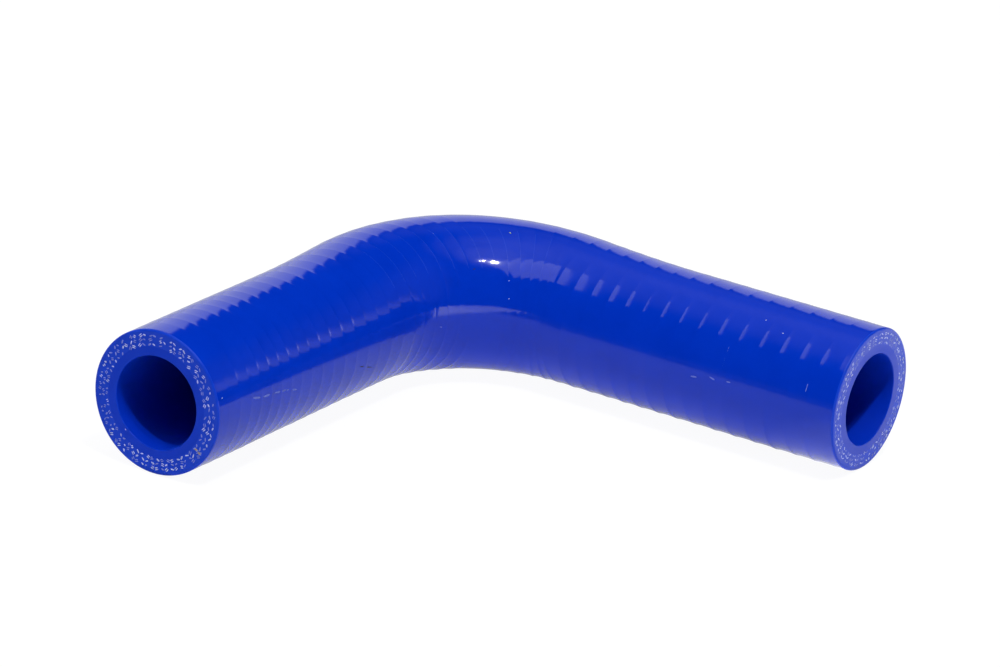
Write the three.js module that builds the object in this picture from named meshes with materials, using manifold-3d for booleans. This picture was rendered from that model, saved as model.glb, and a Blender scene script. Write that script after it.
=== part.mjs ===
// Silicone elbow hose: a 90 degree coupling hose for an engine bay, moulded in one piece from
// fabric-reinforced silicone. Tape wound tightly round it while it cured left a fine raised line
// that climbs round the outside like a shallow thread, and its two ends are cut off square.
// Millimetres, +Z up. The hose lies flat, with its underside at Z = 0. Leg A runs along -Y and
// leg B along +X, and the origin is under the middle of the bounding box.
import * as THREE from 'three';
import { mergeVertices } from 'three/addons/utils/BufferGeometryUtils.js';
import Module from 'manifold-3d';

const wasm = await Module();
wasm.setup();

// The hose
const boreDiameter = 19;      // slides over a 19 mm pipe stub
const wallThickness = 5.3;    // silicone with its fabric plies inside
const legALength = 102;       // from the end face to where the axes of the two legs cross
const legBLength = 102;
const bendRadius = 34;        // of the centreline
const bendAngle = 90;         // degrees
const bendSwell = 1;          // extra wall at the middle of the bend, where the plies bunch up
const swellLength = 100;      // of the centreline, over which the swell rises and fades

// The line left by the curing tape
const wrapStart = 4;          // from end face A to the start of a full turn of the tape
const firstLead = 3.6;        // advance of the tape in one turn, at end A
const lastLead = 4.6;         // and at end B
const wrapDrift = 0.7;        // how far the hand-wound tape strays from its even place
const driftRate = 0.45;       // radians of that straying for each turn
const driftPhase = 0.84;      // and at the start
const wrapLean = 8;           // how far its turns lag on the outside of the bend
const ridgeHeight = 0.12;
const ridgeRise = 0.45;       // share of a turn in which the line rises gently, towards end A
const ridgeFall = 0.14;       // share in which it drops again

// How finely the surfaces are drawn
const sides = 36;             // facets round the hose, outside and in
const boreStep = 5;           // between the sections of the bore round the bend
const spareTurns = 3;         // turns of tape past each end, which the end cuts take off

const siliconeColour = 0x0530b8;

// Sizes that follow
const boreRadius = boreDiameter / 2;
const outerRadius = boreRadius + wallThickness;
const turned = THREE.MathUtils.degToRad(bendAngle);
const tangentLength = bendRadius * Math.tan(turned / 2);
const arcLength = bendRadius * turned;
const legAStraight = legALength - tangentLength;
const centrelineLength = legAStraight + arcLength + legBLength - tangentLength;
const bendMiddle = legAStraight + arcLength / 2;
const turnsInAll = (2 * centrelineLength) / (firstLead + lastLead);
const trimLength = (spareTurns + 3) * lastLead;

// Share of the full swell at a distance along the centreline: 1 at the middle of the bend
function swellShare(along) {
  const offset = (along - bendMiddle) / swellLength;
  return Math.abs(offset) < 0.5 ? 0.5 + 0.5 * Math.cos(2 * Math.PI * offset) : 0;
}

// The centreline at a distance from end face A: its point, the way out from the bend, and how far
// it has turned. The corner of the two legs' axes is at X = Y = 0. The middle of the bend is raised
// by its swell, so that the underside stays flat on what the hose lies on.
function centreline(along) {
  const angle = THREE.MathUtils.clamp((along - legAStraight) / bendRadius, 0, turned);
  const forward = new THREE.Vector3(Math.sin(angle), Math.cos(angle), 0);
  const outward = new THREE.Vector3(-Math.cos(angle), Math.sin(angle), 0);
  const straight = along - legAStraight - angle * bendRadius;
  const point = new THREE.Vector3(bendRadius, -tangentLength, bendSwell * swellShare(along))
    .addScaledVector(outward, bendRadius)
    .addScaledVector(forward, straight);
  return { point, outward, angle };
}

// A point at a radius from the centreline. The angle round it starts at the top of the hose and
// turns towards the outside of the bend.
function aroundCentreline(along, around, radius) {
  const { point, outward } = centreline(along);
  return point.addScaledVector(outward, radius * Math.sin(around))
    .add(new THREE.Vector3(0, 0, radius * Math.cos(around)));
}

// A closed solid skinned over rows of points, each of which goes once round the centreline. The
// end of a row joins the start of the row that lies rowsPerTurn further on: 0 makes plain rings,
// and more makes a helix. pointAt gives the point of a row at an angle.
function skinnedSolid(rowCount, rowsPerTurn, pointAt) {
  const vertices = [];
  const corners = new Map();
  const corner = (row, side) => {
    const key = side === sides ? `${row + rowsPerTurn},0` : `${row},${side}`;
    if (!corners.has(key)) {
      corners.set(key, vertices.length / 3);
      vertices.push(...pointAt(row, (2 * Math.PI * side) / sides).toArray());
    }
    return corners.get(key);
  };
  const faces = [];
  for (let row = 0; row < rowCount - 1; row += 1) {
    for (let side = 0; side < sides; side += 1) {
      const here = corner(row, side);
      const beyond = corner(row + 1, side + 1);
      faces.push(here, corner(row + 1, side), beyond, here, beyond, corner(row, side + 1));
    }
  }
  const rim = (row) => {
    const loop = [];
    for (let side = 0; side <= sides; side += 1) loop.push(corner(row, side));
    for (let step = rowsPerTurn - 1; step > 0; step -= 1) loop.push(corner(row + step, 0));
    return rowsPerTurn ? loop : loop.slice(0, -1);
  };
  const cap = (row, facing) => {
    const loop = rim(row);
    const hub = vertices.length / 3;
    const middle = new THREE.Vector3();
    loop.forEach((index) => middle.add(new THREE.Vector3().fromArray(vertices, 3 * index)));
    vertices.push(...middle.divideScalar(loop.length).toArray());
    loop.forEach((index, place) => {
      const next = loop[(place + 1) % loop.length];
      faces.push(hub, ...(facing < 0 ? [index, next] : [next, index]));
    });
  };
  cap(0, -1);
  cap(rowCount - 1, 1);
  return new wasm.Manifold(new wasm.Mesh({
    numProp: 3,
    vertProperties: new Float32Array(vertices),
    triVerts: new Uint32Array(faces),
  }));
}

// How far along the centreline the tape line has come after so many turns, at an angle round it
function tapeLine(turns, around) {
  const widening = ((lastLead - firstLead) * turns ** 2) / (2 * turnsInAll);
  const drift = wrapDrift * Math.sin(driftRate * turns + driftPhase);
  const even = wrapStart + firstLead * turns + widening + drift;
  const lag = wrapLean * Math.sin((Math.PI * centreline(even).angle) / turned);
  return even - lag * Math.sin(around);
}

// The outside with its tape line, over-long at both ends. Each turn of the tape is three rows:
// the foot, the crest and the other foot of the line, with a smooth band between two lines.
function outside() {
  const turnCount = Math.ceil(turnsInAll + 2 * spareTurns);
  const rows = [[-ridgeRise, 0], [0, ridgeHeight], [ridgeFall, 0]];
  const rowsPerTurn = rows.length;
  return skinnedSolid(turnCount * rowsPerTurn, rowsPerTurn, (row, around) => {
    const [place, height] = rows[row % rowsPerTurn];
    const turn = Math.floor(row / rowsPerTurn) - spareTurns;
    const along = tapeLine(turn + around / (2 * Math.PI) + place, around);
    const radius = outerRadius + bendSwell * swellShare(along) + height;
    return aroundCentreline(along, around, radius);
  });
}

// The bore, run out past both ends
function bore() {
  const shaped = Math.max(swellLength, arcLength);
  const steps = Math.ceil(shaped / boreStep);
  const stations = [-trimLength];
  for (let step = 0; step <= steps; step += 1) {
    stations.push(bendMiddle + shaped * (step / steps - 0.5));
  }
  stations.push(centrelineLength + trimLength);
  return skinnedSolid(stations.length, 0, (row, around) => (
    aroundCentreline(stations[row], around, boreRadius)));
}

// The square knife cut at an end face: all that lies beyond it, towards the given side
function endCut(along, side) {
  const { point, angle } = centreline(along + (side * trimLength) / 2);
  const width = 4 * (outerRadius + bendSwell + ridgeHeight);
  const box = new THREE.BoxGeometry(width, trimLength, width)
    .rotateZ(-angle)
    .translate(point.x, point.y, point.z);
  box.deleteAttribute('normal');
  box.deleteAttribute('uv');
  const merged = mergeVertices(box);
  return new wasm.Manifold(new wasm.Mesh({
    numProp: 3,
    vertProperties: new Float32Array(merged.attributes.position.array),
    triVerts: new Uint32Array(merged.index.array),
  }));
}

// The finished hose as a mesh, moved so that it stands on Z = 0 with the origin under its middle
function hose() {
  const solid = outside()
    .subtract(endCut(0, -1))
    .subtract(endCut(centrelineLength, 1))
    .subtract(bore());
  const { vertProperties, triVerts } = solid.getMesh();
  const geometry = new THREE.BufferGeometry();
  geometry.setAttribute('position', new THREE.BufferAttribute(vertProperties, 3));
  geometry.setIndex(new THREE.BufferAttribute(triVerts, 1));
  geometry.computeBoundingBox();
  const { min, max } = geometry.boundingBox;
  geometry.translate(-(min.x + max.x) / 2, -(min.y + max.y) / 2, -min.z);
  geometry.computeVertexNormals();
  const material = new THREE.MeshStandardMaterial({
    color: siliconeColour,
    roughness: 0.3,
    metalness: 0,
  });
  const mesh = new THREE.Mesh(geometry, material);
  mesh.name = 'elbow_hose';
  return mesh;
}

const part = new THREE.Group();
part.add(hose());
export default part;
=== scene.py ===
# Silicone elbow hose: its fine surface, its finishes and the studio it is photographed in.
# Sizes are in millimetres and are turned to metres where a mesh or a lamp is made.
import math
import random

import bmesh
import bpy
import numpy as np
from mathutils import Matrix, Quaternion, Vector


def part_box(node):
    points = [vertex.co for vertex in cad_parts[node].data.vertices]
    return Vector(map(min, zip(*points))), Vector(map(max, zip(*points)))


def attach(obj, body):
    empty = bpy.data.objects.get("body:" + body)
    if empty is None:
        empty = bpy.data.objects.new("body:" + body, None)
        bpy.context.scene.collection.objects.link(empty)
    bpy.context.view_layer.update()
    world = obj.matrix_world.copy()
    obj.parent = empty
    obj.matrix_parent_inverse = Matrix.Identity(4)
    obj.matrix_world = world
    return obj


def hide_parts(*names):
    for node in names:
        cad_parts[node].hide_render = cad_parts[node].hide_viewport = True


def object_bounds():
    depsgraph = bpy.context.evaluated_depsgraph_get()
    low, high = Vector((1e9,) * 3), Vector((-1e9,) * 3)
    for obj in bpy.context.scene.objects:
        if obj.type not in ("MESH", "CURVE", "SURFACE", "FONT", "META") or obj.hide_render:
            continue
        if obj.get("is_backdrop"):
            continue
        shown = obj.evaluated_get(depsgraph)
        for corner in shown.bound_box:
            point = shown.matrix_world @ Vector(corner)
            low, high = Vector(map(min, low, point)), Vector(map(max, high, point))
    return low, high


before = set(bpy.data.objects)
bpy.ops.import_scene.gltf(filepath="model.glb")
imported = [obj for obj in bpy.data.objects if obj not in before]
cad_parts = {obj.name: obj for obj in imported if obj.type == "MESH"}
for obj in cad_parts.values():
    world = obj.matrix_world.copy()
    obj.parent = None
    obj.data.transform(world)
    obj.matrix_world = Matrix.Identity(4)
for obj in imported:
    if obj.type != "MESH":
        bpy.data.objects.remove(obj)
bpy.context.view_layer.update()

MM = 0.001

# The hose, as its solid has it
BORE_RADIUS = 9.5
WALL = 5.3                 # silicone with its fabric plies inside
LEG_A = 102.0              # from the end face to where the axes of the two legs cross
LEG_B = 102.0
BEND_RADIUS = 34.0         # of the centreline
BEND_SWELL = 1.0           # extra wall at the middle of the bend
SWELL_LENGTH = 100.0
WRAP_START = 4.0           # from end face A to the start of a full turn of the curing tape
FIRST_LEAD = 3.6           # advance of the tape in one turn, at end A
LAST_LEAD = 4.6            # and at end B
WRAP_DRIFT = 0.7           # how far the tape strays from its even place
DRIFT_RATE = 0.45          # radians of that straying for each turn
DRIFT_PHASE = 0.84         # and at the start
WRAP_LEAN = 8.0            # how far the turns lag on the outside of the bend
SOLID_RIDGE = 0.12         # height of the tape line on the solid, which draws it bolder than it is

# What the solid leaves to this script
RIDGE_HEIGHT = 0.04        # of the tape line as the reflections in the photo show it
RIDGE_RISE = 2.4           # how long it climbs, on the side towards end A
RIDGE_FALL = 1.35          # how long it falls on its other side
HIGHLIGHT_ALONG = (61.0, 118.0)      # where a paler line is painted along its crest, a painted highlight of the tape line catching light, round the bend
HIGHLIGHT_AROUND = (306.0, 346.0)    # in degrees
PULL = 0.95                # mean pull on the tape, as a share of what makes the full ridge
PULL_SWINGS = (            # its changes from turn to turn: size, rate and phase
    (0.14, 2.3, 0),
    (0.1, 5.3, 1),
)
SLACK_AT = 99.5            # where the tape lay slack, on the inside of the bend
SLACK_SPREAD = 7.0
SLACK_LOSS = 0.95          # share of its height that the line loses there
SLACK_SHARPNESS = 4        # of the start and end of that stretch
BOLD_AROUND = 208.0        # where the line stands out most, low on the inner side, in degrees
BOLD_GAIN = 2.0            # and by how much more
BOLD_SHARPNESS = 6         # how closely it keeps to that side
END_FADE = 8.0             # length over which the line fades towards an end face
END_SHARE = 0.3            # and the share of its height that is left there
WAVE_HEIGHT = 0.012        # of the slight unevenness between two tape lines
WAVES = (                  # its parts: length along the hose for a radian, waves round it, phase
    (1.7, 2, 0),
    (2.9, -3, 1),
    (6.1, 1, 2),
)
RIM_ROUND = 0.45           # at the outer edge of an end face
MOUTH_ROUND = 0.2          # at the edge of the bore
CORE_WALL = 1.9            # plain silicone between the bore and the innermost ply

# How finely the surfaces are drawn
SIDES = 112
ROWS_PER_TURN = 15
ROW_CROWDING = 0.85        # how strongly the rows gather at the tape line, from 0 to 1
SPARE_TURNS = 3            # past each end, which are cut off
ROUND_STEPS = 5
BORE_STEP = 3.2
CUT_TOLERANCE = 0.0001     # within which a vertex lies on the plane of an end cut
EDGE_TOLERANCE = 0.001     # and within which the edge that the cut left is found again

# Sizes that follow
OUTER_RADIUS = BORE_RADIUS + WALL
CORE_RADIUS = BORE_RADIUS + CORE_WALL
TURNED = math.pi / 2
TANGENT = BEND_RADIUS * math.tan(TURNED / 2)
LEG_A_STRAIGHT = LEG_A - TANGENT
ARC = BEND_RADIUS * TURNED
LENGTH = LEG_A_STRAIGHT + ARC + LEG_B - TANGENT
BEND_MIDDLE = LEG_A_STRAIGHT + ARC / 2
TURNS_IN_ALL = 2 * LENGTH / (FIRST_LEAD + LAST_LEAD)

# Where the axes of the two legs cross, from the box of the solid
LOW, HIGH = (np.array(corner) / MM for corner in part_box("elbow_hose"))
CORNER = np.array([HIGH[0] - LEG_B, LOW[1] + LEG_A, LOW[2] + OUTER_RADIUS + SOLID_RIDGE])


def swell_share(along):
    """Share of the bend's swell at a distance along the centreline."""
    offset = (along - BEND_MIDDLE) / SWELL_LENGTH
    return np.where(np.abs(offset) < 0.5, 0.5 + 0.5 * np.cos(2 * np.pi * offset), 0.0)


def turned_at(along):
    """How far the centreline has turned, in radians, at a distance along it."""
    return np.clip((along - LEG_A_STRAIGHT) / BEND_RADIUS, 0, TURNED)


def around_centreline(along, around, radius):
    """Points at a radius from the centreline. The angle starts at the top of the hose and turns
    towards the outside of the bend."""
    angle = turned_at(along)
    straight = along - LEG_A_STRAIGHT - angle * BEND_RADIUS
    reach = BEND_RADIUS + radius * np.sin(around)
    x = BEND_RADIUS - np.cos(angle) * reach + np.sin(angle) * straight
    y = -TANGENT + np.sin(angle) * reach + np.cos(angle) * straight
    z = BEND_SWELL * swell_share(along) + radius * np.cos(around)
    return np.stack(np.broadcast_arrays(x, y, z), axis=-1) + CORNER


def tape_line(turns, around):
    """How far along the hose the tape line has come after so many turns, at an angle round it."""
    widening = (LAST_LEAD - FIRST_LEAD) * turns ** 2 / (2 * TURNS_IN_ALL)
    drift = WRAP_DRIFT * np.sin(DRIFT_RATE * turns + DRIFT_PHASE)
    even = WRAP_START + FIRST_LEAD * turns + widening + drift
    lag = WRAP_LEAN * np.sin(np.pi * turned_at(even) / TURNED)
    return even - lag * np.sin(around)


def tape_strength(turns, along, around):
    """How strongly the line stands out: as the pull on the tape changed, most low on the inner
    side, and less near the ends and where the tape lay slack."""
    pull = PULL
    for size, rate, phase in PULL_SWINGS:
        pull = pull + size * np.sin(rate * turns + phase)
    end_share = np.clip(np.minimum(along, LENGTH - along) / END_FADE, END_SHARE, 1)
    slack = SLACK_LOSS * np.exp(-((along - SLACK_AT) / SLACK_SPREAD) ** SLACK_SHARPNESS)
    facing_bold = np.clip(np.cos(around - math.radians(BOLD_AROUND)), 0, 1)
    bold = 1 + BOLD_GAIN * facing_bold ** BOLD_SHARPNESS
    return pull * bold * end_share * (1 - slack)


def waves(along, around):
    """Slight unevenness of the skin, in shares of its height."""
    return sum(np.sin(along / length + count * around + phase)
               for length, count, phase in WAVES) / len(WAVES)


def outside_points():
    """The outside of the hose as rows that climb round it with the tape, over-long at both ends."""
    turn_count = math.ceil(TURNS_IN_ALL + 2 * SPARE_TURNS)
    turn = np.arange(turn_count)[:, None, None]
    step = np.arange(ROWS_PER_TURN)[None, :, None] / ROWS_PER_TURN
    around = np.arange(SIDES)[None, None, :] * (2 * np.pi / SIDES)
    share = step - ROW_CROWDING * np.sin(2 * np.pi * step) / (2 * np.pi)
    turns = turn + around / (2 * np.pi) - SPARE_TURNS
    line = tape_line(turns, around)
    next_line = tape_line(turns + 1, around)
    along = line * (1 - share) + next_line * share
    past, before = along - line, next_line - along
    strength = tape_strength(turns, along, around)
    next_strength = tape_strength(turns + 1, along, around)
    fall = np.clip(1 - past / RIDGE_FALL, 0, 1) ** 2
    rise = np.clip(1 - before / RIDGE_RISE, 0, 1) ** 2
    height = RIDGE_HEIGHT * (strength * fall + next_strength * rise)
    height = height + WAVE_HEIGHT * waves(along, around)
    radius = OUTER_RADIUS + BEND_SWELL * swell_share(along) + height
    return around_centreline(along, around, radius).reshape(-1, 3)


def outside_faces(point_count):
    """Quads between those rows, and their finishes. The end of each row joins the start of the
    row one turn on."""
    row = np.arange(point_count // SIDES - ROWS_PER_TURN - 1)[:, None]
    side = np.arange(SIDES)[None, :]
    beyond = np.where(side + 1 < SIDES, row * SIDES + side + 1, (row + ROWS_PER_TURN) * SIDES)
    here = row * SIDES + side
    faces = np.stack([here, here + SIDES, beyond + SIDES, beyond], axis=-1).reshape(-1, 4)
    turns = row // ROWS_PER_TURN + side / SIDES - SPARE_TURNS
    line = tape_line(turns, side * (2 * np.pi / SIDES))
    # Crest rows inside these bounds take a paler finish: a painted highlight where the tape line
    # catches light
    painted_crest = row % ROWS_PER_TURN == 0
    for value, (low, high) in ((line, HIGHLIGHT_ALONG), (side * 360 / SIDES, HIGHLIGHT_AROUND)):
        painted_crest = painted_crest & (value > low) & (value < high)
    return faces, np.where(painted_crest, CREST_HIGHLIGHT, SKIN).reshape(-1)


class End:
    """An end face: where it lies, which way it looks, and the angles round it."""

    UP = np.array([0.0, 0.0, 1.0])

    def __init__(self, along, sign):
        self.centre = around_centreline(np.float64(along), 0.0, 0.0)
        self.facing = self.centre - around_centreline(np.float64(along - sign), 0.0, 0.0)
        self.outward = around_centreline(np.float64(along), np.pi / 2, 1.0) - self.centre

    def spoke(self, around):
        """The way out from the axis at an angle."""
        return self.outward * math.sin(around) + self.UP * math.cos(around)

    def point(self, around, radius, depth=0.0):
        """A point of the face, or one that lies deeper in the wall."""
        return self.centre + self.spoke(around) * radius - self.facing * depth

    def polar(self, point):
        """The angle and radius of a point round the axis of this end."""
        off = np.array(point) - self.centre
        aside, above = off @ self.outward, off @ self.UP
        return math.atan2(aside, above), math.hypot(aside, above)


ENDS = {"a": End(0.0, -1), "b": End(LENGTH, 1)}
SKIN, CREST_HIGHLIGHT, CUT, CORE, BORE = range(5)


def boundary_loop(mesh, end):
    """The vertices of the open edge near an end face, in order round it."""
    plane = (end.centre - end.facing * RIM_ROUND) @ end.facing
    found = [vert for vert in mesh.verts
             if vert.is_boundary
             and abs(np.array(vert.co) @ end.facing - plane) < EDGE_TOLERANCE]
    return sorted(found, key=lambda vert: end.polar(vert.co)[0])


def ring(mesh, end, angles, radii, depth):
    """A ring of new vertices round the axis of an end."""
    return [mesh.verts.new(end.point(angle, radius, depth)) for angle, radius in zip(angles, radii)]


def skin_between(mesh, first, second, finish):
    """A smooth band of quads between two rings of the same count."""
    for place in range(len(first)):
        after = (place + 1) % len(first)
        face = mesh.faces.new((first[place], first[after], second[after], second[place]))
        face.material_index = finish
        face.smooth = True


def flat_between(mesh, first, second, finish):
    """A flat part of an end face, between two rings of any count."""
    edges = []
    for loop in (first, second):
        for place, vert in enumerate(loop):
            after = loop[(place + 1) % len(loop)]
            edges.append(mesh.edges.get((vert, after)) or mesh.edges.new((vert, after)))
    made = bmesh.ops.triangle_fill(mesh, edges=edges, use_beauty=True)
    for face in made["geom"]:
        if isinstance(face, bmesh.types.BMFace):
            face.material_index = finish
            face.smooth = False


def close_end(mesh, end):
    """Rounds the rim, lays the flat face and rounds the mouth. Returns the ring in the bore."""
    loop = boundary_loop(mesh, end)
    polar = [end.polar(vert.co) for vert in loop]
    angles = [angle for angle, radius in polar]
    for step in range(1, ROUND_STEPS + 1):
        bend = math.pi / 2 * step / ROUND_STEPS
        radii = [radius - RIM_ROUND * (1 - math.cos(bend)) for angle, radius in polar]
        rim = ring(mesh, end, angles, radii, RIM_ROUND * (1 - math.sin(bend)))
        skin_between(mesh, loop, rim, CUT)
        loop = rim
    even = [2 * math.pi * side / SIDES for side in range(SIDES)]
    core = ring(mesh, end, even, [CORE_RADIUS] * SIDES, 0)
    mouth = ring(mesh, end, even, [BORE_RADIUS + MOUTH_ROUND] * SIDES, 0)
    flat_between(mesh, loop, core, CUT)
    flat_between(mesh, core, mouth, CORE)
    for step in range(1, ROUND_STEPS + 1):
        bend = math.pi / 2 * step / ROUND_STEPS
        radius = BORE_RADIUS + MOUTH_ROUND * (1 - math.sin(bend))
        inner = ring(mesh, end, even, [radius] * SIDES, MOUTH_ROUND * (1 - math.cos(bend)))
        skin_between(mesh, mouth, inner, CORE)
        mouth = inner
    return mouth


def make_hose():
    """The whole hose as one closed mesh."""
    points = outside_points()
    blank = bpy.data.meshes.new("elbow_hose_fine")
    faces, finishes = outside_faces(len(points))
    blank.from_pydata(points.tolist(), [], faces.tolist())
    mesh = bmesh.new()
    mesh.from_mesh(blank)
    for face, finish in zip(mesh.faces, finishes.tolist()):
        face.smooth = True
        face.material_index = finish
    for end in ENDS.values():
        everything = mesh.verts[:] + mesh.edges[:] + mesh.faces[:]
        bmesh.ops.bisect_plane(mesh, geom=everything, dist=CUT_TOLERANCE, clear_outer=True,
                               plane_co=end.centre - end.facing * RIM_ROUND, plane_no=end.facing)
    loop, last_ring = (close_end(mesh, end) for end in ENDS.values())
    inside = LENGTH - 2 * MOUTH_ROUND
    count = math.ceil(inside / BORE_STEP)
    around = np.arange(SIDES) * (2 * np.pi / SIDES)
    for step in range(1, count):
        points = around_centreline(MOUTH_ROUND + inside * step / count, around, BORE_RADIUS)
        deeper = [mesh.verts.new(point) for point in points]
        skin_between(mesh, loop, deeper, BORE)
        loop = deeper
    skin_between(mesh, loop, last_ring, BORE)
    bmesh.ops.recalc_face_normals(mesh, faces=mesh.faces[:])
    bmesh.ops.scale(mesh, vec=(MM, MM, MM), verts=mesh.verts[:])
    mesh.to_mesh(blank)
    mesh.free()
    return new_object("elbow_hose_fine", blank)


def new_object(name, data):
    """An object for a mesh, a lamp or a camera, linked to the scene."""
    made = bpy.data.objects.new(name, data)
    bpy.context.scene.collection.objects.link(made)
    return made


class Lumps:
    """Many small closed lumps that become one mesh."""

    SIDES = 8
    RINGS = ((1.0, -0.3), (0.75, 0.7))     # shares of the size, and of the height
    SUNK = 0.3                             # share of the height that lies in the surface

    def __init__(self):
        self.points = []
        self.faces = []
        self.finishes = []

    def add(self, centre, ways, size, finish=0):
        """A low dome sunk a little into the surface. The three ways are along its length, across
        it and out of the surface, and its size goes with them."""
        along, across, out = ways
        length, width, height = size
        first = len(self.points)
        for share, lift in self.RINGS:
            for side in range(self.SIDES):
                turn = 2 * math.pi * side / self.SIDES
                reach = (along * (math.cos(turn) * length / 2)
                         + across * (math.sin(turn) * width / 2))
                self.points.append(centre + reach * share + out * (lift * height))
        self.points.append(centre - out * (self.SUNK * height))
        self.points.append(centre + out * height)
        foot = first + 2 * self.SIDES
        for side in range(self.SIDES):
            low, low_next = first + side, first + (side + 1) % self.SIDES
            high, high_next = low + self.SIDES, low_next + self.SIDES
            self.faces += [(low, low_next, high_next, high), (high, high_next, foot + 1),
                           (low_next, low, foot)]
        self.finishes += [finish] * (3 * self.SIDES)

    def make(self, name, materials):
        """The object, which rides on the hose."""
        mesh = bpy.data.meshes.new(name)
        mesh.from_pydata([tuple(point * MM) for point in self.points], [], self.faces)
        for material in materials:
            mesh.materials.append(material)
        mesh.polygons.foreach_set("material_index", self.finishes)
        mesh.polygons.foreach_set("use_smooth", [True] * len(self.faces))
        fix = bmesh.new()
        fix.from_mesh(mesh)
        bmesh.ops.recalc_face_normals(fix, faces=fix.faces[:])
        fix.to_mesh(mesh)
        fix.free()
        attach(new_object(name, mesh), "root")


# The cut ends of the polyester plies in an end face
PLY_DEPTHS = (1.25, 2.15, 3.05)    # from the outside of the hose
PLY_WANDER = 0.1                   # how far a ply wanders in and out on its way round
PLY_WAVES = 3                      # how often it does so
YARN_PITCH = 1.22                  # from one yarn to the next
YARN_PAIRING = 0.13                # how far two neighbours move together, in shares of the pitch
YARN_STRAY = 0.06                  # how far each strays round the wall, in the same shares
YARN_STRAY_OUT = 0.05              # and in or out
YARN_TILT = (16, 36)               # degrees from the way round, to each side in turn
YARN_LENGTH = (0.8, 1.2)
YARN_WIDTH = (0.28, 0.4)
YARN_HEIGHT = 0.04
PULLED_OUT = 0.06                  # share of the yarns that the knife took along
BRIGHT_SHARE = 0.4
SPLIT_SHARE = 0.4                  # share of the yarns that show as two strands
STRAND_WIDTH = 0.24
STRAND_SPACING = 0.36
STRAND_SHORTEST = 0.7              # share of the length that the knife left of a strand
STEEP_SIDE = {"a": 95.0}           # where the plies were cut across, so that their ends stand up
STEEP_TILT = 40                    # degrees more there
STEEP_PULLED_OUT = 0.25            # share of every second yarn that is missing there
STEEP_SHORTER = 0.25
KNOT = (-124.6, 12.7)              # angle and radius of a brown-stained knot in end face A
KNOT_STRANDS = (                   # how far out each lies, its tilt in radians, length and width
    (0.5, 1.4, 1.1, 0.55),
    (-0.5, 1.2, 0.9, 0.5),
)
CRUMB = (137.8, 0.6)               # angle of a loose bit of yarn, and its distance from the bore
CRUMB_TILT = 0.3
CRUMB_SIZE = (0.35, 0.25)
BRIGHT, DIM, STAINED = range(3)


def dash(lumps, end, place, tilt, size, finish):
    """A short flat fibre end at an angle and radius of an end face, tilted from the way round."""
    angle, radius = place
    spoke, tangent = end.spoke(angle), end.spoke(angle + math.pi / 2)
    way = tangent * math.cos(tilt) + spoke * math.sin(tilt)
    across = spoke * math.cos(tilt) - tangent * math.sin(tilt)
    lumps.add(end.point(angle, radius), (way, across, end.facing), (*size, YARN_HEIGHT), finish)


def yarn_ends(name):
    """The yarns of each ply as short pale dashes that zigzag round the wall of an end."""
    end = ENDS[name]
    chance = random.Random("yarns " + name)
    lumps = Lumps()
    for ply, depth in enumerate(PLY_DEPTHS):
        middle = OUTER_RADIUS - depth
        count = 2 * round(math.pi * middle / YARN_PITCH)
        for place in range(count):
            second = place % 2
            paired = YARN_PAIRING if second else -YARN_PAIRING
            stray = chance.uniform(-YARN_STRAY, YARN_STRAY)
            angle = 2 * math.pi * (place + paired + stray) / count
            across = 0.0
            if name in STEEP_SIDE:
                across = max(0.0, math.cos(angle - math.radians(STEEP_SIDE[name]))) ** 2
            if chance.random() < PULLED_OUT + STEEP_PULLED_OUT * across * second:
                continue
            wander = PLY_WANDER * math.sin(PLY_WAVES * angle + ply)
            wander = wander + chance.uniform(-YARN_STRAY_OUT, YARN_STRAY_OUT)
            tilt = math.radians(chance.uniform(*YARN_TILT) + STEEP_TILT * across)
            tilt = tilt if second else -tilt
            finish = BRIGHT if chance.random() < BRIGHT_SHARE else DIM
            length = chance.uniform(*YARN_LENGTH) * (1 - STEEP_SHORTER * across)
            strands = 2 if chance.random() < SPLIT_SHARE else 1
            for strand in range(strands):
                offset = (strand - (strands - 1) / 2) * STRAND_SPACING
                width = STRAND_WIDTH if strands == 2 else chance.uniform(*YARN_WIDTH)
                at = (angle - offset * math.sin(tilt) / middle,
                      middle + wander + offset * math.cos(tilt))
                left = chance.uniform(STRAND_SHORTEST, 1)
                dash(lumps, end, at, tilt, (length * left, width), finish)
    return lumps


def knot_and_crumb(lumps):
    """The stained knot in end face A, and the bit of yarn at the edge of its bore."""
    end = ENDS["a"]
    angle, radius = math.radians(KNOT[0]), KNOT[1]
    for out, tilt, length, width in KNOT_STRANDS:
        dash(lumps, end, (angle, radius + out), tilt, (length, width), STAINED)
    place = (math.radians(CRUMB[0]), BORE_RADIUS + CRUMB[1])
    dash(lumps, end, place, CRUMB_TILT, CRUMB_SIZE, BRIGHT)
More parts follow.
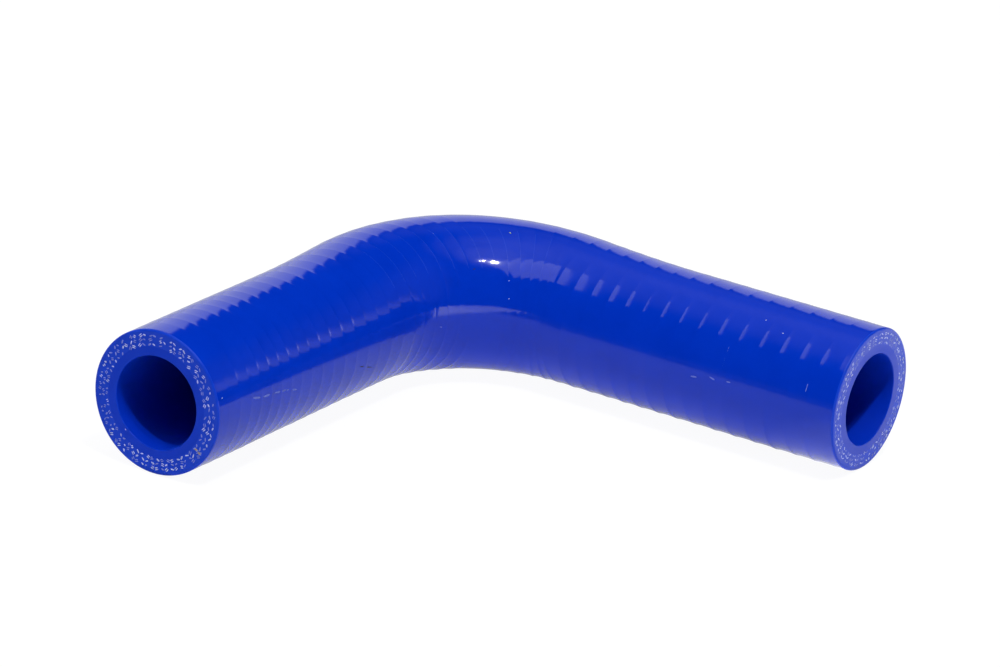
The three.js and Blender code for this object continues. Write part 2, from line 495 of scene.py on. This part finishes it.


# Dust, lint, hairs and dried smears on the skin, and thin paler lines painted round leg B as
# painted highlights of tape lines: finish, width and the points that each stroke runs through, as
# distance along the hose and angle round it in degrees
DUST, LINT, HAIR, SMEAR_AND_HIGHLIGHT = range(4)
MARKS = (
    (HAIR, 0.26, ((49.5, -99), (51.6, -101.6), (54.0, -105.2), (56.0, -109))),
    (SMEAR_AND_HIGHLIGHT, 0.5, ((11.5, -83), (15, -86), (19, -87), (23, -89), (27, -93))),
    (SMEAR_AND_HIGHLIGHT, 0.4, ((156.4, -89.8), (157.8, -89.2))),
    (SMEAR_AND_HIGHLIGHT, 0.35, ((160.8, -86.0), (161.8, -87.0))),
    (SMEAR_AND_HIGHLIGHT, 0.3, ((164.6, -85.6), (165.4, -85.4))),
    # painted highlights: three thin paler lines round leg B, where tape lines catch light
    (SMEAR_AND_HIGHLIGHT, 0.25, ((182.3, -75), (182.4, -72), (182.4, -69))),
    (SMEAR_AND_HIGHLIGHT, 0.12, ((159.3, -75), (159.4, -69), (159.5, -63), (159.5, -58))),
    (SMEAR_AND_HIGHLIGHT, 0.12, ((163.1, -75), (163.2, -69), (163.3, -63), (163.3, -58))),
    (DUST, 0.2, ((85.5, -19), (85.9, -18))),
    (SMEAR_AND_HIGHLIGHT, 0.25, ((81.1, -93.7), (81.9, -94.2))),
    (DUST, 0.16, ((106.2, -59.4), (106.6, -59.0))),
    (DUST, 0.16, ((107.0, -72.6), (107.4, -72.2))),
    (HAIR, 0.2, ((94.4, -52.6), (95.1, -52.2))),
    (LINT, 0.25, ((104.5, -16.1), (104.9, -16.9))),
    (DUST, 0.2, ((172.8, -35.5), (173.0, -35.5))),
    (DUST, 0.18, ((167.9, -28.3), (168.0, -27.7))),
    (DUST, 0.2, ((1.7, -72.5), (1.9, -72.5))),
)
MARK_HEIGHT = 0.02


def skin_marks():
    """The marks, each a row of short dashes that follow the skin."""
    lumps = Lumps()
    for finish, width, stops in MARKS:
        path = []
        for along, degrees in stops:
            radius = OUTER_RADIUS + BEND_SWELL * float(swell_share(along))
            around = math.radians(degrees)
            path.append([around_centreline(np.float64(along), around, radius + lift)
                         for lift in (0, 1)])
        for (start, start_above), (stop, stop_above) in zip(path, path[1:]):
            out = (start_above - start + stop_above - stop) / 2
            length = float(np.linalg.norm(stop - start))
            way = (stop - start) / length
            ways = (way, np.cross(out, way), out)
            lumps.add((start + stop) / 2, ways, (length + width, width, MARK_HEIGHT), finish)
    return lumps


def hex_colour(code):
    """A linear colour from an sRGB hex value."""
    shares = [int(code[place:place + 2], 16) / 255 for place in (1, 3, 5)]
    return [v / 12.92 if v <= 0.04045 else ((v + 0.055) / 1.055) ** 2.4 for v in shares] + [1.0]


def per_mm(size):
    """The scale of a noise whose lumps are about a size in millimetres across."""
    return 1 / (size * MM)


def add_node(tree, kind, inputs=None, **settings):
    """Adds a shader node with its settings. An input is a value or the output that feeds it."""
    made = tree.nodes.new("ShaderNode" + kind)
    for name, value in settings.items():
        setattr(made, name, value)
    for key, value in (inputs or {}).items():
        if isinstance(value, bpy.types.NodeSocket):
            tree.links.new(value, made.inputs[key])
        else:
            made.inputs[key].default_value = value
    return made


def new_material(name):
    """An empty material, its node tree and its output node."""
    material = bpy.data.materials.new(name)
    material.use_nodes = True
    material.node_tree.nodes.clear()
    return material, material.node_tree, add_node(material.node_tree, "OutputMaterial")


SILICONE_IOR = 1.41
SHEEN_CHANGE = 0.2                 # by which the roughness changes from place to place
MIDDLE_OF_NOISE = (0.3, 0.7)       # between which nearly all of a noise lies
MOTTLE_DETAIL = 3.0                # how many finer layers the mottling has
GRAIN_DETAIL = 2.0                 # and the grain

# The finishes of the silicone, in the order of SKIN, CREST_HIGHLIGHT, CUT, CORE and BORE: name, the two
# colours that its pigment varies between, roughness, shine, size and depth of the grain, and size
# of the mottling. Silicone's own grain is too fine to show, so each is drawn as coarse as it has
# to be to roughen a reflection's edge.
SILICONES = (
    # moulded under smooth tape: glossy, with sharp pale reflections on a deep blue
    ("moulded_silicone_skin", "#0030BE", "#0338CC", 0.085, 0.5, 0.8, 0.004, 9),
    # painted highlight: a paler colour along the top of the tape line, where its ridge catches
    # light; matt, so that it shows as a thin paler line
    ("painted_crest_highlight_silicone", "#1444CC", "#2A58DC", 0.5, 0.5, 0.8, 0.004, 9),
    # cut with a knife through silicone and cloth: flat, satin and a little hazy
    ("knife_cut_silicone", "#0638C8", "#1044D4", 0.4, 0.2, 0.3, 0.008, 4),
    # cut by the same knife where there is no cloth: plainer and deeper in colour
    ("knife_cut_core_silicone", "#0034C2", "#043ACC", 0.4, 0.16, 0.8, 0.006, 9),
    # moulded against a mandrel: satin, so that the bore falls off to dark with no sharp reflection
    ("mandrel_smooth_silicone", "#0030BC", "#0234C6", 0.4, 0.2, 1.2, 0.008, 9),
)


def silicone(name, dark, light, roughness, shine, grain, grain_depth, mottle):
    """Solid-coloured silicone rubber. Its pigment varies a little from place to place, and the
    grain is what shaped its surface."""
    material, tree, output = new_material(name)
    place = add_node(tree, "TexCoord").outputs["Object"]
    patches = add_node(tree, "TexNoise", {"Vector": place, "Scale": per_mm(mottle),
                                      "Detail": MOTTLE_DETAIL})
    colour = add_node(tree, "Mix", {
        0: patches.outputs[0], 6: hex_colour(dark), 7: hex_colour(light)},
        data_type="RGBA").outputs[2]
    sheen = add_node(tree, "MapRange", {
        0: patches.outputs[0], 1: MIDDLE_OF_NOISE[0], 2: MIDDLE_OF_NOISE[1],
        3: roughness * (1 - SHEEN_CHANGE), 4: roughness * (1 + SHEEN_CHANGE)}).outputs[0]
    grains = add_node(tree, "TexNoise", {"Vector": place, "Scale": per_mm(grain),
                                     "Detail": GRAIN_DETAIL})
    relief = add_node(tree, "Bump", {"Height": grains.outputs[0], "Distance": grain_depth * MM})
    body = add_node(tree, "BsdfPrincipled", {
        "Base Color": colour, "Roughness": sheen, "IOR": SILICONE_IOR,
        "Specular IOR Level": shine, "Normal": relief.outputs[0]})
    tree.links.new(body.outputs[0], output.inputs["Surface"])
    return material


MATT_ROUGHNESS = 0.7
POLYESTER_IOR = 1.57               # and near enough that of dust
TUFT_SIZE = 0.5                    # of light and dark parts, coarser than real filaments to show

# The finishes of the yarns, in the order of BRIGHT, DIM and STAINED: name and two colours
YARNS = (
    # cut polyester yarn that stands clear of the silicone: a pale dash
    ("polyester_yarn_bright", "#94A2E4", "#C8D2F8"),
    # polyester yarn soaked in blue silicone: a dull dash, halfway to the colour round it
    ("polyester_yarn_dim", "#4C60CC", "#8896E0"),
    # polyester yarn stained with rust or glue: the one warm colour on the hose
    ("polyester_yarn_stained", "#8A7860", "#B4A07C"),
)

# The finishes of the marks, in the order of DUST, LINT, HAIR and SMEAR_AND_HIGHLIGHT
MARK_FINISHES = (
    # dry dust: near white specks
    ("pale_dust", "#C4CEF0", "#E4EAFF"),
    # cotton lint: one greenish yellow speck
    ("yellow_lint", "#98A860", "#BCC680"),
    # a dark hair: a near black line that takes the reflection off the skin
    ("dark_hair", "#020410", "#060A20"),
    # a dried drop or wipe: a thin matt film, paler than the skin. The same finish draws the thin
    # paler lines round leg B, which are painted highlights
    ("dried_smear_and_painted_highlight", "#4A60CC", "#7080D8"),
)


def matt(name, dark, light):
    """Yarn, dust or a dried smear: matt, and mottled between two colours."""
    material, tree, output = new_material(name)
    place = add_node(tree, "TexCoord").outputs["Object"]
    tufts = add_node(tree, "TexNoise", {"Vector": place, "Scale": per_mm(TUFT_SIZE),
                                    "Detail": GRAIN_DETAIL})
    colour = add_node(tree, "Mix", {
        0: tufts.outputs[0], 6: hex_colour(dark), 7: hex_colour(light)},
        data_type="RGBA").outputs[2]
    body = add_node(tree, "BsdfPrincipled", {
        "Base Color": colour, "Roughness": MATT_ROUGHNESS, "IOR": POLYESTER_IOR})
    tree.links.new(body.outputs[0], output.inputs["Surface"])
    return material


# The camera, where the photographer's stood
LENS = 216.0
SENSOR = 36.0
CAMERA_AIM = (-15.2201, 21.4152, 14.92)
CAMERA_DISTANCE = 1214.57
CAMERA_AZIMUTH = 31.0127
CAMERA_ELEVATION = 20.6869
CAMERA_ROLL = 4.9068


def make_camera():
    """Aims the camera. Its azimuth is from -Y towards +X."""
    azimuth, elevation, roll = (
        math.radians(angle) for angle in (CAMERA_AZIMUTH, CAMERA_ELEVATION, CAMERA_ROLL))
    back = Vector((math.sin(azimuth) * math.cos(elevation),
                   -math.cos(azimuth) * math.cos(elevation), math.sin(elevation)))
    level = Vector((math.cos(azimuth), math.sin(azimuth), 0))
    upright = back.cross(level)
    right = level * math.cos(roll) + upright * math.sin(roll)
    up = upright * math.cos(roll) - level * math.sin(roll)
    data = bpy.data.cameras.new("camera")
    data.lens = LENS
    data.sensor_width = SENSOR
    camera = new_object("camera", data)
    turn = Matrix((right, up, back)).transposed().to_4x4()
    where = (Vector(CAMERA_AIM) + back * CAMERA_DISTANCE) * MM
    camera.matrix_world = Matrix.Translation(where) @ turn
    bpy.context.scene.camera = camera


# The studio. A direction is an azimuth from +Y towards +X and an elevation, in degrees.
FLOOR_SIZE = 6000.0
FLOOR_GLOW_SEEN = 0.95         # keeps the white ground white, with a faint shadow left in it
FLOOR_GLOW_REFLECTED = (       # in the hose: axis, from and to, and how much brighter it gets
    ("Y", -85.0, -50.0, 0.58),
    ("X", 40.0, 80.0, 1.9),
)
FLOOR_SHADE = 0.08             # its colour where it is seen, on top of the glow
FLOOR_WHITE = 0.8              # and as it throws light back on the hose


def direction(azimuth, elevation):
    """A unit vector towards a direction."""
    a, e = math.radians(azimuth), math.radians(elevation)
    return Vector((math.sin(a) * math.cos(e), math.cos(a) * math.cos(e), math.sin(e)))


def make_floor():
    """A wide white table that fades into the white behind it and keeps the hose's shadow."""
    half = FLOOR_SIZE / 2 * MM
    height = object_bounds()[0].z
    mesh = bpy.data.meshes.new("white_table")
    square = ((-half, -half), (half, -half), (half, half), (-half, half))
    mesh.from_pydata([(x, y, height) for x, y in square], [], [(0, 1, 2, 3)])
    floor = new_object("white_table", mesh)
    floor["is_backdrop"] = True
    material, tree, output = new_material("white_table")
    rays = add_node(tree, "LightPath").outputs
    reflected = add_node(tree, "Math", {0: rays["Is Glossy Ray"], 1: rays["Is Transmission Ray"]},
                         operation="MAXIMUM").outputs[0]
    seen = add_node(tree, "Math", {0: rays["Is Camera Ray"], 1: reflected},
                    operation="MAXIMUM").outputs[0]
    white = add_node(tree, "Mix", {0: seen, 6: [FLOOR_WHITE] * 3 + [1], 7: [FLOOR_SHADE] * 3 + [1]},
                     data_type="RGBA").outputs[2]
    lit = add_node(tree, "BsdfDiffuse", {"Color": white})
    spot = add_node(tree, "SeparateXYZ", {0: add_node(tree, "TexCoord").outputs["Object"]}).outputs
    brightness = 0.0
    for axis, start, stop, gain in FLOOR_GLOW_REFLECTED:
        share = add_node(tree, "MapRange", {
            0: spot[axis], 1: start * MM, 2: stop * MM, 3: 0.0, 4: gain}).outputs[0]
        brightness = add_node(tree, "Math", {0: share, 1: brightness}, operation="ADD").outputs[0]
    reflected_glow = add_node(tree, "Math", {0: reflected, 1: brightness},
                              operation="MULTIPLY").outputs[0]
    glow = add_node(tree, "Math", {0: rays["Is Camera Ray"], 1: FLOOR_GLOW_SEEN, 2: reflected_glow},
                    operation="MULTIPLY_ADD").outputs[0]
    shining = add_node(tree, "Emission", {"Strength": glow})
    both = add_node(tree, "AddShader", {0: lit.outputs[0], 1: shining.outputs[0]})
    tree.links.new(both.outputs[0], output.inputs["Surface"])
    mesh.materials.append(material)


# Soft patches of light round the studio: azimuth, elevation, half-width, softness and level
PATCHES = (
    (0, 90, 8, 22, 0.45),        # the ceiling above
    (-80, 68, 10, 22, 0.3),      # the wall on the left, lit from above
    (-48, 47, 8, 16, 0.18),      # its foot
    (118, 75, 3, 17, 0.6),       # the glow round the two bulbs
)
WALL = (60, 25, 5, 35, 0.14)     # the dim wall on the right, with the same five values
WALL_STRIP = (40, 10, 10, 14, 0.55)        # its bright lower part
WALL_GAP = (29.5, 10.5, 1.8, 2.2, 1.9)     # the small bright gap at its near end
WALL_FOOT = 7.0                  # elevation where it starts, above the dark end of the table
WALL_FOOT_EDGE = 0.015           # softness of that edge, for a distance of 1
STRIP_TOP = (10.5, 19.0)         # between which elevations its bright part fades
CARD_AZIMUTH = -70               # which way the white card behind the table stands
CARD_TOP = 0.69                  # height of its straight top edge, for a distance of 1
CARD_TOP_EDGE = 0.035            # softness of that edge
CARD_WIDTH = (-45, 0, 60, 25)    # azimuth, elevation, half-width and softness
CARD_LEVEL = 1.0


def light_patch(tree, way, azimuth, elevation, half_width, softness, level):
    """A round patch of light in a direction, with a soft edge."""
    towards = add_node(tree, "VectorMath", {0: way, 1: direction(azimuth, elevation)},
                       operation="DOT_PRODUCT").outputs["Value"]
    start = math.cos(math.radians(half_width + softness))
    full = math.cos(math.radians(half_width))
    return add_node(tree, "MapRange", {0: towards, 1: start, 2: full, 3: 0.0, 4: level},
                    interpolation_type="SMOOTHSTEP").outputs[0]


def make_surroundings():
    """A dim studio with a white card behind. What the camera sees past the table is white."""
    world = bpy.data.worlds.new("studio")
    bpy.context.scene.world = world
    world.use_nodes = True
    tree = world.node_tree
    tree.nodes.clear()
    way = add_node(tree, "TexCoord").outputs["Generated"]
    height = add_node(tree, "SeparateXYZ", {0: way}).outputs["Z"]

    ahead = add_node(tree, "VectorMath", {0: way, 1: direction(CARD_AZIMUTH, 0)},
                     operation="DOT_PRODUCT").outputs["Value"]
    depth = add_node(tree, "Math", {0: height, 1: -1.0}, operation="MULTIPLY").outputs[0]
    below_top = add_node(tree, "Math", {0: ahead, 1: CARD_TOP, 2: depth},
                         operation="MULTIPLY_ADD").outputs[0]
    card = add_node(tree, "MapRange", {
        0: below_top, 1: -CARD_TOP_EDGE, 2: CARD_TOP_EDGE, 3: 0.0, 4: 1.0},
        interpolation_type="SMOOTHSTEP").outputs[0]
    behind = light_patch(tree, way, *CARD_WIDTH, CARD_LEVEL)
    total = add_node(tree, "Math", {0: card, 1: behind}, operation="MULTIPLY").outputs[0]
    for values in PATCHES:
        total = add_node(tree, "Math", {0: total, 1: light_patch(tree, way, *values)},
                         operation="ADD").outputs[0]

    foot, top, end = (math.sin(math.radians(angle)) for angle in (WALL_FOOT, *STRIP_TOP))
    below_strip_top = add_node(tree, "MapRange", {0: height, 1: end, 2: top, 3: 0.0, 4: 1.0},
                               interpolation_type="SMOOTHSTEP").outputs[0]
    above_foot = add_node(tree, "MapRange", {
        0: height, 1: foot - WALL_FOOT_EDGE, 2: foot + WALL_FOOT_EDGE, 3: 0.0, 4: 1.0},
        interpolation_type="SMOOTHSTEP").outputs[0]
    wall = add_node(tree, "Math", {
        0: light_patch(tree, way, *WALL_STRIP), 1: below_strip_top,
        2: light_patch(tree, way, *WALL)}, operation="MULTIPLY_ADD").outputs[0]
    total = add_node(tree, "Math", {0: wall, 1: above_foot, 2: total},
                     operation="MULTIPLY_ADD").outputs[0]
    total = add_node(tree, "Math", {0: total, 1: light_patch(tree, way, *WALL_GAP)},
                     operation="ADD").outputs[0]

    seen = add_node(tree, "LightPath").outputs["Is Camera Ray"]
    level = add_node(tree, "Mix", {0: seen, 2: total, 3: 1.0}).outputs[0]
    background = add_node(tree, "Background", {"Strength": level})
    output = add_node(tree, "OutputWorld")
    tree.links.new(background.outputs[0], output.inputs["Surface"])


# Lamps over the table, placed from the middle of the bend, and the lit table under the hose.
# A level is a radiance, where 1 is white.
LAMP_DISTANCE = 2500.0
SOFTBOX_AT = (-90.0, -1330.0)
SOFTBOX_SIZE = (2160.0, 1500.0)
SOFTBOX_TURN = -11.0
SOFTBOX_LEVEL = 1.5
BULBS = (                      # azimuth, elevation, width, height, and share of a full light
    (115.5, 66.2, 30.0, 60.0, 0.14),
    (130.5, 66.4, 35.0, 90.0, 0.38),
)
ROOM_LIGHT_SIZE = 3000.0       # the rest of the room's light, which isn't seen reflected
ROOM_LIGHT_LEVEL = 0.75
LIT_TABLE_SIZE = 900.0         # the light that the table throws back from under the hose
LIT_TABLE_LEVEL = 0.3
LIT_TABLE_ABOVE = 0.02         # how far it lies above the white table


def add_lamp(name, where, facing, size, level, turn=0.0):
    """A rectangular lamp at a place that shines the way it faces, turned in its own plane."""
    data = bpy.data.lights.new(name, "AREA")
    data.shape = "RECTANGLE"
    data.size, data.size_y = (side * MM for side in size)
    data.energy = level * math.pi * data.size * data.size_y
    lamp = new_object(name, data)
    lamp.location = where * MM
    aimed = (-facing).to_track_quat("Z", "Y") @ Quaternion((0, 0, 1), math.radians(turn))
    lamp.rotation_euler = aimed.to_euler()
    lamp.visible_camera = False
    return lamp


def make_lamps():
    """The softbox, the two bulbs, the room's light and the lit table."""
    bend = Vector(around_centreline(np.float64(BEND_MIDDLE), 0.0, OUTER_RADIUS))
    down = Vector((0, 0, -1))
    add_lamp("softbox", bend + Vector((*SOFTBOX_AT, LAMP_DISTANCE)), down, SOFTBOX_SIZE,
             SOFTBOX_LEVEL, SOFTBOX_TURN)
    for number, (azimuth, elevation, width, height, share) in enumerate(BULBS, 1):
        way = direction(azimuth, elevation)
        level = share * math.pi * LAMP_DISTANCE ** 2 / (width * height)
        add_lamp(f"bulb_{number}", bend + way * LAMP_DISTANCE, -way, (width, height), level)
    room = add_lamp("room_light", bend + Vector((0, 0, LAMP_DISTANCE)), down,
                    (ROOM_LIGHT_SIZE, ROOM_LIGHT_SIZE), ROOM_LIGHT_LEVEL)
    room.visible_glossy = False
    table = Vector((bend.x, bend.y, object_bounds()[0].z / MM + LIT_TABLE_ABOVE))
    glow = add_lamp("lit_table", table, -down, (LIT_TABLE_SIZE, LIT_TABLE_SIZE), LIT_TABLE_LEVEL)
    glow.visible_glossy = False


make_camera()
hose = make_hose()
for values in SILICONES:
    hose.data.materials.append(silicone(*values))
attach(hose, "root")
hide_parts("elbow_hose")

yarns = [matt(*values) for values in YARNS]
for name in ENDS:
    lumps = yarn_ends(name)
    if name == "a":
        knot_and_crumb(lumps)
    lumps.make("yarn_ends_" + name, yarns)
skin_marks().make("dust_smears_and_painted_highlights", [matt(*values) for values in MARK_FINISHES])

make_floor()
make_surroundings()
make_lamps()
bpy.context.scene.view_settings.view_transform = "Standard"
